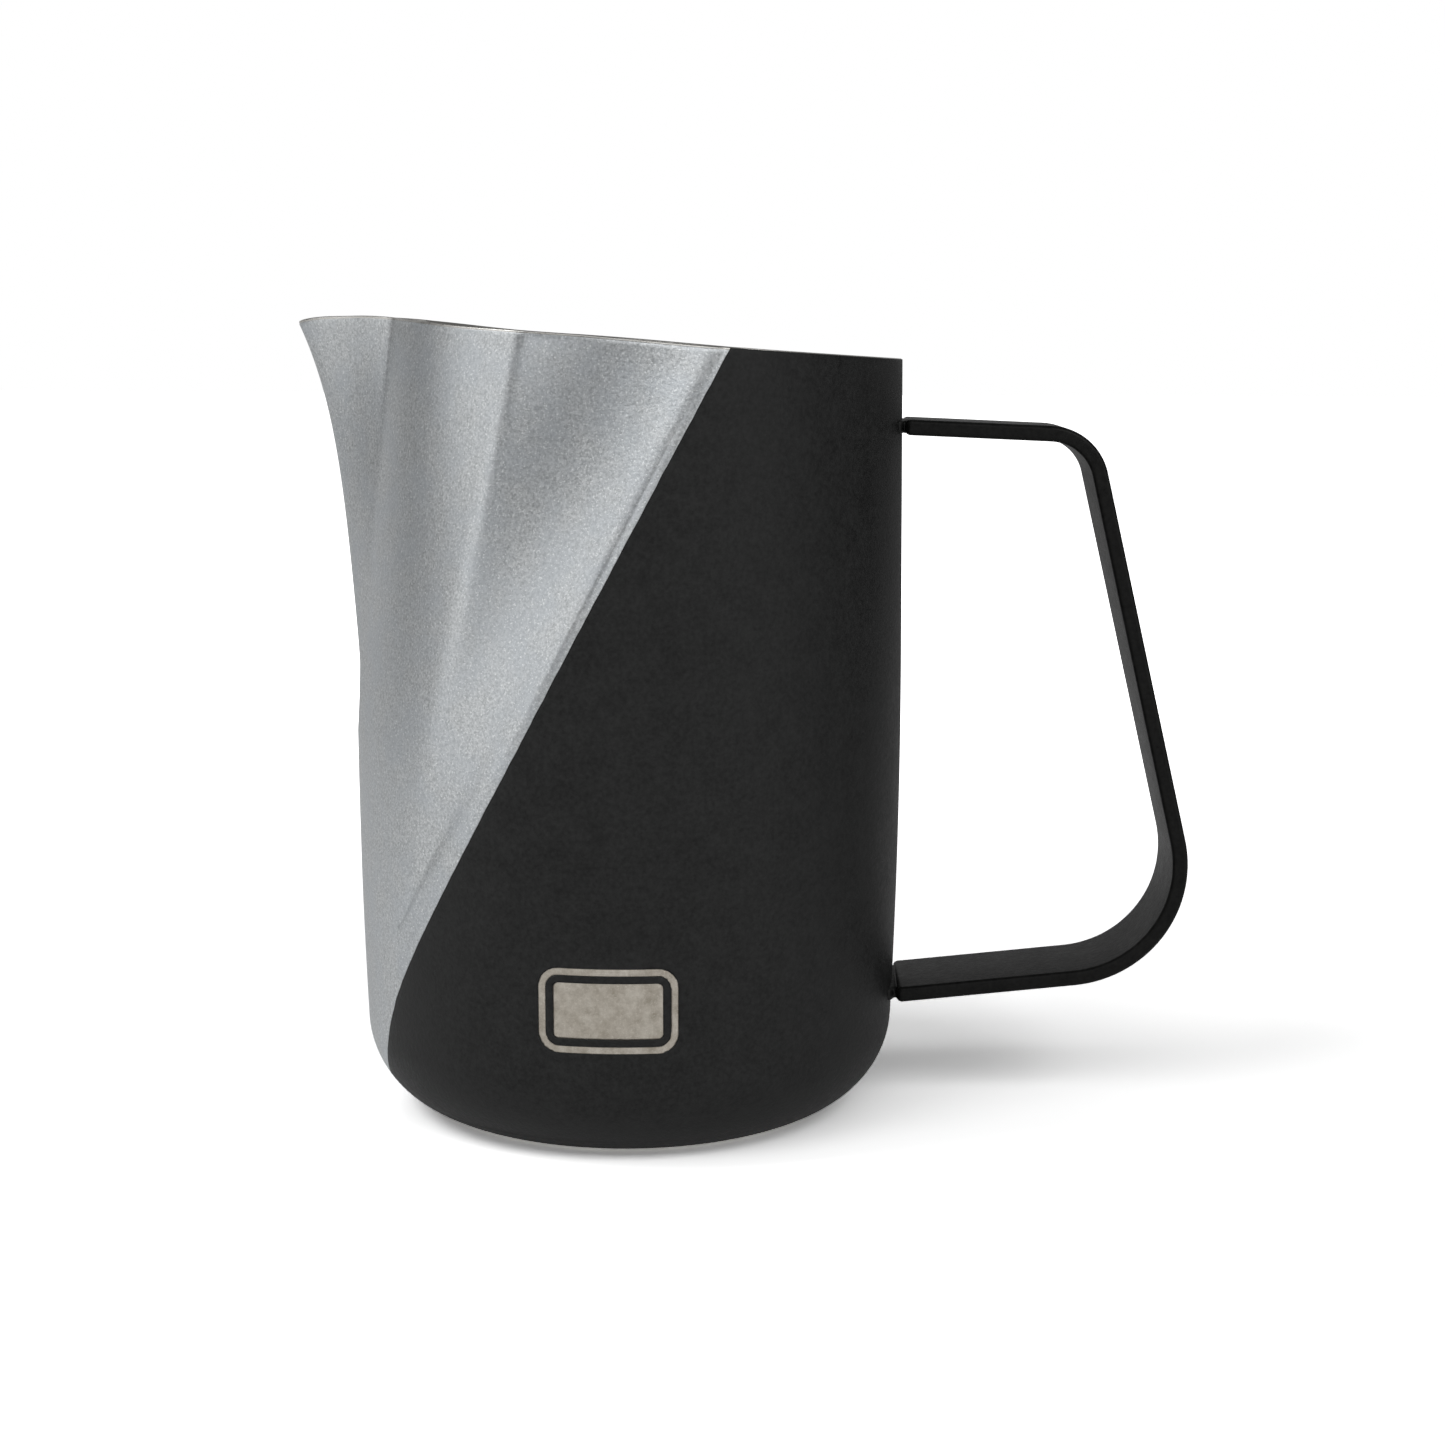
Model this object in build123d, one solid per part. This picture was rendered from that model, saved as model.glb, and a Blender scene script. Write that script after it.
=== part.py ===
from build123d import *
from math import atan, cos, degrees, radians, sin, sqrt
import os

# A milk frothing pitcher: a drawn steel cup with a pressed spout, two powder coats and a welded strap handle.
# Millimetres. +Z is up the cup's axis, the origin is the centre of the foot on the floor,
# the spout points to -X and the handle to +X. The part is symmetric about the XZ plane.

# Sheet and coats
WALL = 0.8                  # steel thickness
COAT = 0.1                  # powder coat thickness
COAT_HEM = 0.6              # the coats stop this far above the floor; the underside is bare

# Cup wall: a slight taper towards the mouth, and a slight draw-in towards the foot
GIRTH_RADIUS = 43.0
GIRTH_HEIGHT = 60.0
TAPER = 0.01106             # radius lost per millimetre of height
DRAW_IN = 0.00043           # radius lost per square millimetre below DRAW_IN_TOP
DRAW_IN_TOP = 73.75

# Foot
CORNER_RADIUS = 14.6
FOOT_OUTER = 27.4
FOOT_INNER = 24.0
RECESS_EDGE = 22.5
RECESS_DEPTH = 1.2

# Mouth: height of the rim seen from the side, from the handle (+X) to the spout (-X)
RIM_OUTLINE = [(60, 117.0), (18, 119.55), (-4, 121.3), (-20, 122.6), (-42, 124.6), (-52, 123.2), (-60, 120.0)]
MOUTH_TOP = 128.0           # the untrimmed cup reaches past the rim
MOUTH_STEPS = 8             # sections between the round cup and the mouth

# Dimples, where the pressed facets of the spout begin
DIMPLE = -32.8              # their place along X
DIMPLE_HEIGHT = 33.5
DRAWN_TOP = 30.0            # the cup is round up to here
RIM_HEIGHT = 121.6          # height of the outer crease at the rim

# Outer crease, from the dimple to the rim
OUTER_CREASE_TOP = -12.7    # its place along X at the rim
OUTER_CREASE_PRESS = 3.3    # how far it is pressed in from the round cup, at the rim
OUTER_CREASE_START = 38.6   # degrees from the spout's side, at the round cup
# Line where the flattened side meets the round back
BACK_LINE_START = 41.0      # degrees from the spout's side, at the round cup
BACK_LINE_SLOPE = 0.55      # millimetres towards the handle per millimetre of height
# Inner crease, beside the spout
INNER_CREASE_START = 9.5    # degrees from the spout's side
INNER_CREASE_TURN = 0.215   # degrees per millimetre of height
INNER_CREASE_SINK = 0.075   # millimetres towards the axis per millimetre of height
INNER_CREASE_FOOT = 60.0

# Spout ridge
RIDGE_FOOT = 70.0
RIDGE_TOP = 123.3
RIDGE_FLARE = 4.3           # steady flare
RIDGE_LIP = 4.6             # extra flare, all near the lip
RIDGE_LIP_POWER = 4.5
NOSE_HALF_WIDTH = 3.3
NOSE_DROP = 1.4             # how far the nose falls back over its half width, at the rim

# Outward bow of each stretch of the section at the rim
FLAT_BOW = 0.8
FLUTE_BOW = 2.4
SPOUT_BOW = 0.3

# Edge between the two coats, seen from the side
COAT_EDGE = [(24, 132.24), (-17, 55.0), (-30.1, 28.8), (-35.2, 16.0), (-36.3, 8.0), (-36.4, -2.0)]

# Strap handle
STRAP_WIDTH = 17.7
STRAP_THICKNESS = 2.4
STRAP_END = 42.75           # the bar is cut square here, just off the cup
UPPER_ARM = (107.7, -0.0391)    # height at the bar's end, and slope
LOWER_ARM = (18.5, 0.1141)
GRIP = (82.3, -0.2399)          # distance from the axis at GRIP_HEIGHT, and lean per millimetre of height
GRIP_HEIGHT = 60.0
UPPER_BEND = 8.1
LOWER_BEND = 18.0
STRAP_EDGE = 0.7            # rounding along the bar
WELD_WIDTH = 14.5
WELD_INSET = 0.25           # the weld neck is thinner than the bar by this much on each side
WELD_REACH = 8.0            # twice the neck's length before it is cut back to the cup
STRAP_OVERRUN = 3.0         # the bar is swept from inside the cup, then cut square

SPAN = 400.0                # longer than twice anything in the part


def wall_radius(z):
    low = max(0.0, DRAW_IN_TOP - z)
    return GIRTH_RADIUS - TAPER * (z - GIRTH_HEIGHT) - DRAW_IN * low**2


def on_wall(z, angle):
    """A point of the round cup, by its angle in degrees from the spout's side towards -Y."""
    r = wall_radius(z)
    return Vector(-r * cos(radians(angle)), -r * sin(radians(angle)))


def between(start, end, share):
    return start + (end - start) * share


def facet_share(z):
    """0 at the dimple and 1 at the rim."""
    return max(0.0, (z - DIMPLE_HEIGHT) / (RIM_HEIGHT - DIMPLE_HEIGHT))


def ridge_point(z):
    rise = max(0.0, (z - RIDGE_FOOT) / (RIDGE_TOP - RIDGE_FOOT))
    return Vector(-wall_radius(min(z, RIDGE_FOOT)) - RIDGE_FLARE * rise - RIDGE_LIP * rise**RIDGE_LIP_POWER, 0)


def nose_point(z):
    rise = max(0.0, (z - RIDGE_FOOT) / (RIDGE_TOP - RIDGE_FOOT))
    round_drop = wall_radius(z) - sqrt(wall_radius(z) ** 2 - NOSE_HALF_WIDTH**2)
    return ridge_point(z) + Vector(between(round_drop, NOSE_DROP, rise), -NOSE_HALF_WIDTH)


def inner_crease_point(z):
    rise = max(0.0, z - INNER_CREASE_FOOT)
    on_cup = on_wall(z, INNER_CREASE_START + INNER_CREASE_TURN * rise)
    return on_cup * ((wall_radius(INNER_CREASE_FOOT) - INNER_CREASE_SINK * rise) / on_cup.length if rise else 1)


def outer_crease_point(z):
    if z <= DIMPLE_HEIGHT:
        return on_wall(z, OUTER_CREASE_START)
    share = facet_share(z)
    x = between(DIMPLE, OUTER_CREASE_TOP, share)
    return Vector(x, OUTER_CREASE_PRESS * share - sqrt(wall_radius(z) ** 2 - x**2))


def back_line_point(z):
    if z <= DIMPLE_HEIGHT:
        return on_wall(z, BACK_LINE_START)
    x = DIMPLE + BACK_LINE_SLOPE * (z - DIMPLE_HEIGHT)
    return Vector(x, -sqrt(wall_radius(z) ** 2 - x**2))


def turned(v, angle):
    return Vector(v.X * cos(angle) - v.Y * sin(angle), v.X * sin(angle) + v.Y * cos(angle))


def stretch(z, start, end, bow):
    """One bowed stretch of the section: its ends, its middle, and its outward normals at each of them."""
    chord = end - start
    out = Vector(chord.Y, -chord.X).normalized()
    if out.dot(start + end) < 0:
        out = -out
    round_bow = wall_radius(z) - sqrt(wall_radius(z) ** 2 - (chord.length / 2) ** 2)
    sag = between(round_bow, bow, min(1.0, facet_share(z)))
    half_turn = 2 * atan(2 * sag / chord.length)
    side = 1 if turned(out, half_turn).dot(start - end) > 0 else -1
    return {
        "ends": (start, end),
        "middle": (start + end) / 2 + out * sag,
        "normals": (turned(out, side * half_turn), out, turned(out, -side * half_turn)),
    }


def mitred(point, before, after, grow):
    """A corner moved out by grow from both of the stretches that meet in it."""
    return point + (before + after) * (grow / (1 + before.dot(after)))


def section(z, grow):
    """The cup's cross-section at height z, as a face, moved outwards by grow."""
    nose, inner = nose_point(z), inner_crease_point(z)
    outer, back = outer_crease_point(z), back_line_point(z)
    spout = stretch(z, nose, inner, SPOUT_BOW)
    flute = stretch(z, inner, outer, FLUTE_BOW)
    flat = stretch(z, outer, back, FLAT_BOW)
    nose_turn = 2 * atan((nose.X - ridge_point(z).X) / NOSE_HALF_WIDTH)
    nose_normal = turned(Vector(-1, 0), nose_turn)
    corners = [
        mitred(nose, nose_normal, spout["normals"][0], grow),
        mitred(inner, spout["normals"][2], flute["normals"][0], grow),
        mitred(outer, flute["normals"][2], flat["normals"][0], grow),
        mitred(back, flat["normals"][2], back.normalized(), grow),
    ]
    middles = [s["middle"] + s["normals"][1] * grow for s in (spout, flute, flat)]
    ridge = ridge_point(z) - Vector(grow, 0)
    rear = Vector(wall_radius(z) + grow, 0)

    def mirrored(v):
        return Vector(v.X, -v.Y)

    near = [ThreePointArc(corners[i], middles[i], corners[i + 1]) for i in range(3)]
    far = [ThreePointArc(mirrored(corners[i + 1]), mirrored(middles[i]), mirrored(corners[i])) for i in (2, 1, 0)]
    rear_arc = ThreePointArc(corners[3], rear, mirrored(corners[3]))
    nose_arc = ThreePointArc(mirrored(corners[0]), ridge, corners[0])
    return Pos(0, 0, z) * Face(Wire(near + [rear_arc] + far + [nose_arc]))


def mouth_part(grow):
    """The cup above the round part, reaching past the rim."""
    rise = (MOUTH_TOP - DRAWN_TOP) / MOUTH_STEPS
    heights = [DRAWN_TOP + rise * i for i in range(MOUTH_STEPS + 1)]
    return loft([section(z, grow) for z in heights])


def round_part(grow):
    """The cup from its floor to where the facets begin, filled to the axis."""
    rise = -grow
    corner = CORNER_RADIUS + grow
    corner_end = (wall_radius(CORNER_RADIUS) + grow, CORNER_RADIUS)
    foot = (corner_end[0] - corner, rise)
    middle = (DRAWN_TOP + CORNER_RADIUS) / 2
    outline = [
        Polyline((0, RECESS_DEPTH + rise), (RECESS_EDGE, RECESS_DEPTH + rise), (FOOT_INNER, rise), foot),
        RadiusArc(foot, corner_end, -corner),
        Spline(corner_end, (wall_radius(middle) + grow, middle), (wall_radius(DRAWN_TOP) + grow, DRAWN_TOP)),
        Polyline((wall_radius(DRAWN_TOP) + grow, DRAWN_TOP), (0, DRAWN_TOP), (0, RECESS_DEPTH + rise)),
    ]
    return revolve(Plane.XZ * make_face(outline), Axis.Z)


def side_region(outline):
    """A solid that runs right through the part along Y, from a closed outline in X and Z."""
    return extrude(Plane.XZ * make_face(outline), SPAN / 2, both=True)


def above_rim():
    start, end = RIM_OUTLINE[0], RIM_OUTLINE[-1]
    return side_region([Spline(*RIM_OUTLINE), Polyline(end, (end[0], SPAN), (start[0], SPAN), start)])


def cup(grow):
    """The filled cup out to a surface grow outside the steel."""
    return mouth_part(grow) + round_part(grow) - above_rim()


def strap_centre():
    """The bar's centre line, from its upper end to its lower end."""
    upper_z, upper_slope = UPPER_ARM
    lower_z, lower_slope = LOWER_ARM
    grip_x, lean = GRIP

    def corner(height, slope):
        x = (grip_x + lean * (height - slope * STRAP_END - GRIP_HEIGHT)) / (1 - lean * slope)
        return (x, height + slope * (x - STRAP_END))

    def inside_cup(height, slope):
        return (STRAP_END - STRAP_OVERRUN, height - slope * STRAP_OVERRUN)

    return [
        inside_cup(upper_z, upper_slope),
        corner(upper_z, upper_slope),
        corner(lower_z, lower_slope),
        inside_cup(lower_z, lower_slope),
    ]


def handle_side():
    """Everything further out than the square-cut ends of the bar."""
    return Pos(STRAP_END + SPAN / 2, 0, 0) * Box(SPAN, SPAN, SPAN)


def make_strap():
    path = Plane.XZ * FilletPolyline(*strap_centre(), radius=(UPPER_BEND, LOWER_BEND))
    profile = Plane(path @ 0, x_dir=(0, 1, 0), z_dir=path % 0) * Rectangle(STRAP_WIDTH, STRAP_THICKNESS)
    bar = sweep(profile, path) & handle_side()
    return fillet(long_edges(bar), STRAP_EDGE)


def long_edges(bar):
    """The bar's four edges that run the length of the handle, on its sides."""
    side_faces = [f for f in bar.faces() if abs(f.normal_at().Y) > 0.99]
    return [e for face in side_faces for e in face.edges() if not is_at_end(e)]


def is_at_end(edge):
    box = edge.bounding_box()
    return box.max.X < STRAP_END + STRAP_THICKNESS / 2


def make_weld(arm, cup_body):
    height, slope = arm
    neck = Box(WELD_REACH, WELD_WIDTH, STRAP_THICKNESS - 2 * WELD_INSET)
    placed = Pos(STRAP_END, 0, height) * Rot(0, -degrees(atan(slope)), 0) * neck
    return placed - handle_side() - cup_body


def make_cup_parts():
    steel_outside = cup(0)
    coat_outside = cup(COAT)
    inside = mouth_part(-WALL) + round_part(-WALL)
    below_hem = Pos(0, 0, COAT_HEM - SPAN / 2) * Box(SPAN, SPAN, SPAN)
    underside = Cylinder(FOOT_OUTER, 2 * CORNER_RADIUS)
    coat = coat_outside - steel_outside - below_hem - underside
    start, end = COAT_EDGE[0], COAT_EDGE[-1]
    spout_side = side_region([Spline(*COAT_EDGE), Polyline(end, (-SPAN / 2, end[1]), (-SPAN / 2, start[1]), start)])
    return coat_outside, {
        "body_shell": steel_outside - inside,
        "silver_coat": coat & spout_side,
        "black_coat": coat - spout_side,
    }


def make_part():
    cup_body, nodes = make_cup_parts()
    nodes["handle_strap"] = make_strap()
    nodes["upper_weld"] = make_weld(UPPER_ARM, cup_body)
    nodes["lower_weld"] = make_weld(LOWER_ARM, cup_body)
    return nodes


os.makedirs("parts", exist_ok=True)
for node_name, shape in make_part().items():
    export_step(shape, f"parts/{node_name}.step")
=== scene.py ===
import math
import bpy
import numpy as np
from mathutils import Matrix, Vector


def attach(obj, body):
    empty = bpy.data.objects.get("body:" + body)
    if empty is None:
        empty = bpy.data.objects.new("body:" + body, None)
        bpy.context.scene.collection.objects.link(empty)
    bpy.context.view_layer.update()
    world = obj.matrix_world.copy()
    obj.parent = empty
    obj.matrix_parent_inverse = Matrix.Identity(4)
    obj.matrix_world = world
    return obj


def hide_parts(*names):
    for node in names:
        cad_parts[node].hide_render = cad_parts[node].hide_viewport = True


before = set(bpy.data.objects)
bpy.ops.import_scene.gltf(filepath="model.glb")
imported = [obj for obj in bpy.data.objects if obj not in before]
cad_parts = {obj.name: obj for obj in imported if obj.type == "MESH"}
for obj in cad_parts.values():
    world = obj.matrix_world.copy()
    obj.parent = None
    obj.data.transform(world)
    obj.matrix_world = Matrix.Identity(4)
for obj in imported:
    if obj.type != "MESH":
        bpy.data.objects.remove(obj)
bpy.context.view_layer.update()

MM = 0.001

# ---------------------------------------------------------------- sizes, in millimetres
# The cup and the handle are the CAD model's. The pressed side is a little deeper than there, the fold
# lies nearer the border, and the border near the foot differs by up to half a millimetre.
WALL = 0.8
COAT = 0.1
COAT_SUNK = 0.02                # the coats' hidden side lies this far inside the steel's surface
GIRTH_RADIUS = 43.0
GIRTH_HEIGHT = 60.0
TAPER = 0.01106
DRAW_IN = 0.00043
DRAW_IN_TOP = 73.75
CORNER_RADIUS = 14.6
COAT_HEM = 0.7
# Height of the rim at places along X
RIM_OUTLINE = [(-60, 120.0), (-52, 123.3), (-42, 124.1), (-20, 122.35), (-4, 121.3), (18, 119.55),
               (60, 117.0)]

# Spout: a ridge and, on each side, an inner crease, an outer crease and a fold. Starts are in degrees.
DIMPLE = -32.8                  # place along X
DIMPLE_HEIGHT = 33.5
RIM_HEIGHT = 121.6
OUTER_CREASE_TOP = -12.7        # place along X at the rim
OUTER_CREASE_PRESS = 4.4        # how far it is pressed in from the round cup at the rim
OUTER_CREASE_START = 38.6
FOLD_FOOT = -30.2               # place along X at the dimple's height
FOLD_SLOPE = 0.536
FOLD_START = 44.8
INNER_CREASE_START = 9.5
INNER_CREASE_TURN = 0.215
INNER_CREASE_SINK = 0.09
INNER_CREASE_FOOT = 60.0
RIDGE_FOOT = 70.0
RIDGE_TOP = 123.3
RIDGE_FLARE = 4.3
RIDGE_LIP = 4.6
RIDGE_LIP_POWER = 4.5

# Outward bow of the stretches between the creases; the facet beside the border is hollow
FLUTE_BOW = 2.4
SPOUT_BOW = 0.3
FACET_BOW = -0.8
FACET_RUN_IN = 12.0             # height over which the stretches emerge from the round wall
FLUTE_FORMING = 1.4             # how soon up the wall each stretch has its full bow
FACET_FORMING = 2.0
CREASE_BLUR = 0.7               # degrees
RIDGE_BLUR = 2.2

# Edge between the coats: a slanting plane that bends down to the vertical near the foot
EDGE_SLOPE = 1.885
EDGE_HEIGHT = 87.0
EDGE_FRONT = -36.7
EDGE_SOFTNESS = 2.8

# Wander of the masked edge: sizes and the length over which each changes
EDGE_WANDER = ((0.022, 0.7), (0.012, 2.5))

# Handle: each arm is its height at the cup and its slope; the grip is its place along X and its slope
STRAP_WIDTH = 17.7
STRAP_THICKNESS = 2.4
STRAP_END = 42.75
UPPER_ARM = (107.7, -0.0391)
LOWER_ARM = (18.5, 0.1141)
GRIP = (82.3, -0.2399)
GRIP_HEIGHT = 60.0
UPPER_BEND = 8.1
LOWER_BEND = 18.0
STRAP_EDGE = 0.75
WELD_WIDTH = 14.5
WELD_INSET = 0.25

# Pinched groove that runs up from each dimple along the fold
GROOVE_DEPTH = 0.42
GROOVE_HALF_WIDTH = 1.25
GROOVE_FADE = 19.0
GROOVE_LEAN = 0.47              # millimetres towards the handle per millimetre of height

# Rim and underside of the steel
RIM_ROUND = 0.22
BARE_LIP = 0.34                 # bare steel above the silver coat
BLACK_LIP = 0.10
UNDERSIDE = [(4.0, 1.3), (12.0, 1.28), (20.0, 1.24), (21.6, 1.2), (22.3, 1.08), (22.9, 0.75), (23.4, 0.4),
             (23.9, 0.1), (24.6, 0.0), (26.0, 0.0)]

# Mesh density: columns from the ridge to the creases, the fold, the coats' edge and the back, on each side
COLUMNS = (24, 30, 26, 10, 64)


# ---------------------------------------------------------------- shape of the cup
def wall_radius(z):
    low = np.maximum(0.0, DRAW_IN_TOP - z)
    return GIRTH_RADIUS - TAPER * (z - GIRTH_HEIGHT) - DRAW_IN * low**2


def polar(x, y):
    """Angle from the spout's side in degrees, and distance from the axis."""
    return math.degrees(math.atan2(-y, -x)), math.hypot(x, y)


def facet_share(z):
    return max(0.0, (z - DIMPLE_HEIGHT) / (RIM_HEIGHT - DIMPLE_HEIGHT))


def ridge_reach(z):
    rise = max(0.0, (z - RIDGE_FOOT) / (RIDGE_TOP - RIDGE_FOOT))
    return wall_radius(min(z, RIDGE_FOOT)) + RIDGE_FLARE * rise + RIDGE_LIP * rise**RIDGE_LIP_POWER


def inner_crease(z):
    rise = max(0.0, z - INNER_CREASE_FOOT)
    reach = wall_radius(min(z, INNER_CREASE_FOOT)) - INNER_CREASE_SINK * rise
    return INNER_CREASE_START + INNER_CREASE_TURN * rise, reach


def outer_crease(z):
    if z <= DIMPLE_HEIGHT:
        return OUTER_CREASE_START, wall_radius(z)
    share = facet_share(z)
    x = DIMPLE + (OUTER_CREASE_TOP - DIMPLE) * share
    return polar(x, OUTER_CREASE_PRESS * share - math.sqrt(wall_radius(z) ** 2 - x**2))


def fold(z):
    if z <= DIMPLE_HEIGHT:
        return FOLD_START, wall_radius(z)
    x = FOLD_FOOT + FOLD_SLOPE * (z - DIMPLE_HEIGHT)
    return polar(x, -math.sqrt(wall_radius(z) ** 2 - x**2))


def chord(angles, start, end, bow):
    """Distance from the axis along the straight line between two polar points, bowed outwards."""
    a0, r0 = math.radians(start[0]), start[1]
    a1, r1 = math.radians(end[0]), end[1]
    a = np.radians(angles)
    base = r0 * r1 * math.sin(a1 - a0) / (r0 * np.sin(a - a0) + r1 * np.sin(a1 - a))
    share = (a - a0) / (a1 - a0)
    return base + 4 * bow * share * (1 - share)


SAMPLE_STEP = 0.25              # degrees
SAMPLES = np.arange(-180, 180, SAMPLE_STEP)


def blurred(values, degrees):
    """A periodic Gaussian blur of values at the sampled angles."""
    frequency = np.fft.rfftfreq(len(values), d=SAMPLE_STEP)
    return np.fft.irfft(np.fft.rfft(values) * np.exp(-2 * (math.pi * degrees * frequency) ** 2), len(values))


def raw_outline(z):
    """Distance from the axis at each sampled angle, with sharp creases."""
    angles = np.abs(SAMPLES)
    radius = wall_radius(z)
    out = np.full(len(angles), radius)
    ridge, inner, outer, back = (0.0, ridge_reach(z)), inner_crease(z), outer_crease(z), fold(z)
    share = min(1.0, facet_share(z))
    flute_formed, facet_formed = min(1.0, FLUTE_FORMING * share), min(1.0, FACET_FORMING * share)
    stretches = ((ridge, inner, SPOUT_BOW, share), (inner, outer, FLUTE_BOW * share, flute_formed),
                 (outer, back, FACET_BOW, facet_formed))
    for start, end, bow, formed in stretches:
        mask = (angles >= start[0]) & (angles <= end[0])
        half = math.radians(end[0] - start[0]) / 2
        round_bow = radius * (1 - math.cos(half))
        line = chord(angles[mask], start, end, round_bow * (1 - formed) + bow * formed)
        flat = np.clip((z - DIMPLE_HEIGHT) / FACET_RUN_IN, 0, 1)
        out[mask] = line * flat + radius * (1 - flat) if z < INNER_CREASE_FOOT else line
    return out


def outline(z):
    """The outline at height z with each crease rounded by its own amount."""
    raw = raw_outline(z) - wall_radius(z)
    angles = np.abs(SAMPLES)
    sharp, soft = blurred(raw, CREASE_BLUR), blurred(raw, RIDGE_BLUR)
    near_ridge = np.exp(-((angles / 7.0) ** 2))
    fading = min(1.0, max(0.0, 1.7 - 2.0 * facet_share(z)))
    near_outer = np.exp(-(((angles - outer_crease(z)[0]) / 5.0) ** 2)) * fading
    softness = np.maximum(near_ridge, near_outer)
    line = sharp * (1 - softness) + soft * softness + wall_radius(z)
    flattened = ridge_reach(z) - line[np.argmin(angles)]
    return line + flattened * near_ridge - groove(angles, z)


def groove(angles, z):
    """How far the pinched groove sinks at each angle."""
    rise = z - DIMPLE_HEIGHT
    if rise < -1.5:
        return np.zeros(len(angles))
    x = DIMPLE + GROOVE_LEAN * rise
    centre = math.degrees(math.acos(-x / wall_radius(z)))
    off = np.radians(angles - centre) * wall_radius(z)
    start = 1 / (1 + math.exp(-rise / 0.35))
    depth = GROOVE_DEPTH * start * math.exp(-max(0.0, rise) / GROOVE_FADE)
    width = GROOVE_HALF_WIDTH * (0.55 + 0.06 * max(0.0, rise))
    return depth * np.exp(-((off / width) ** 2))


def coat_edge(z):
    """Where the coats meet, as a distance from the axis plane towards the handle."""
    plane = (z - EDGE_HEIGHT) / EDGE_SLOPE
    over = np.clip((plane - EDGE_FRONT) / EDGE_SOFTNESS, -40, 40)
    return EDGE_FRONT + EDGE_SOFTNESS * np.log1p(np.exp(over))


def smooth_curve(x, xs, ys):
    """A cubic Hermite curve through the points, with slopes from their neighbours."""
    slopes = np.gradient(ys, xs)
    i = np.clip(np.searchsorted(xs, x) - 1, 0, len(xs) - 2)
    h = xs[i + 1] - xs[i]
    t = (x - xs[i]) / h
    return ((2 * t**3 - 3 * t**2 + 1) * ys[i] + (t**3 - 2 * t**2 + t) * h * slopes[i]
            + (-2 * t**3 + 3 * t**2) * ys[i + 1] + (t**3 - t**2) * h * slopes[i + 1])


def rim_height(x):
    xs, zs = np.array(RIM_OUTLINE).T
    return smooth_curve(x, xs, zs)


def wall_slope(z):
    return float(wall_radius(z + 0.01) - wall_radius(z - 0.01)) / 0.02


def corner_end():
    """Height where the foot's corner runs smoothly into the wall, and the corner's centre radius."""
    z = CORNER_RADIUS
    for _ in range(20):
        z = CORNER_RADIUS * (1 - math.sin(math.atan(wall_slope(z))))
    return z, wall_radius(z) - CORNER_RADIUS * math.cos(math.atan(wall_slope(z)))


CORNER_TOP, CORNER_CENTRE = corner_end()
CORNER_TURN = math.acos(1 - CORNER_TOP / CORNER_RADIUS)
CORNER_LENGTH = CORNER_RADIUS * CORNER_TURN


def round_reach(z):
    """The round cup's radius at height z, the foot's corner included."""
    if z >= CORNER_TOP:
        return wall_radius(z)
    return CORNER_CENTRE + math.sqrt(CORNER_RADIUS**2 - (CORNER_RADIUS - z) ** 2)


def ragged(count, step, reach, rng):
    """Seeded smooth noise of about unit size, for the masked edge between the coats."""
    raw = rng.normal(size=count)
    kernel = np.exp(-((np.arange(-40, 41) * step / reach) ** 2))
    line = np.convolve(raw, kernel, "same")
    return line / line.std()


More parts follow.
